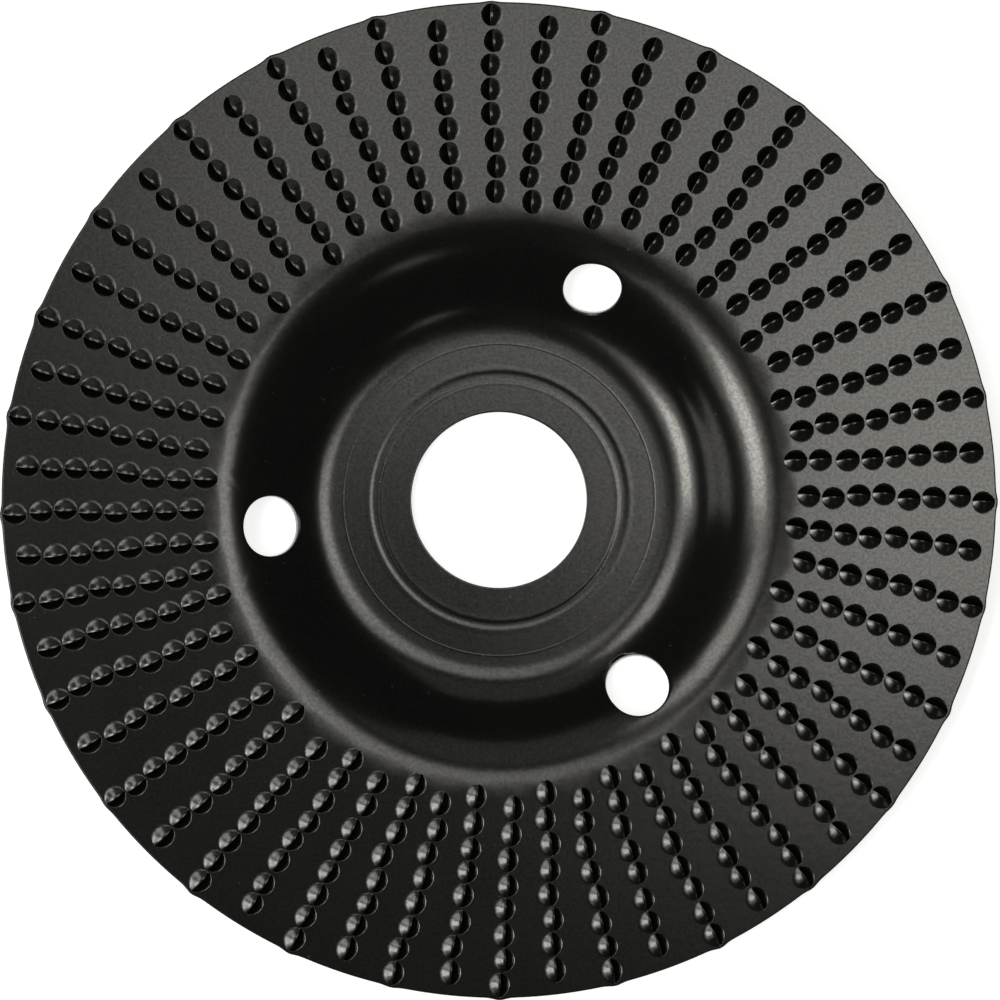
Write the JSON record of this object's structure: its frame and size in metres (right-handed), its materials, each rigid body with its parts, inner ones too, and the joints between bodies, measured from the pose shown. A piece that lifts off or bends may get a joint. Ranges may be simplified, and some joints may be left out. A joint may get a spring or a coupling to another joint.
{
  "type": "angle grinder carving disc",
  "caption": "Pressed sheet-steel carving disc with a dished hub, a plain arbor hole, round vent holes and rows of punched half-dome teeth on its flat outer band.",
  "frame": {"origin": "on the disc's axis, in the plane of the hub's back face, which bears on the grinder's flange", "axes": "+Z along the disc's axis, out of the toothed face; +X is level with the first row of teeth to within a degree; the cutting faces look anticlockwise, seen from +Z"},
  "size_m": [0.1257, 0.1257, 0.0074],
  "materials": {
    "black_paint": "satin black paint over sheet steel, one coat over the whole disc"
  },
  "bodies": {
    "root": {"pressed_disc": "black_paint"}
  },
  "joints": []
}
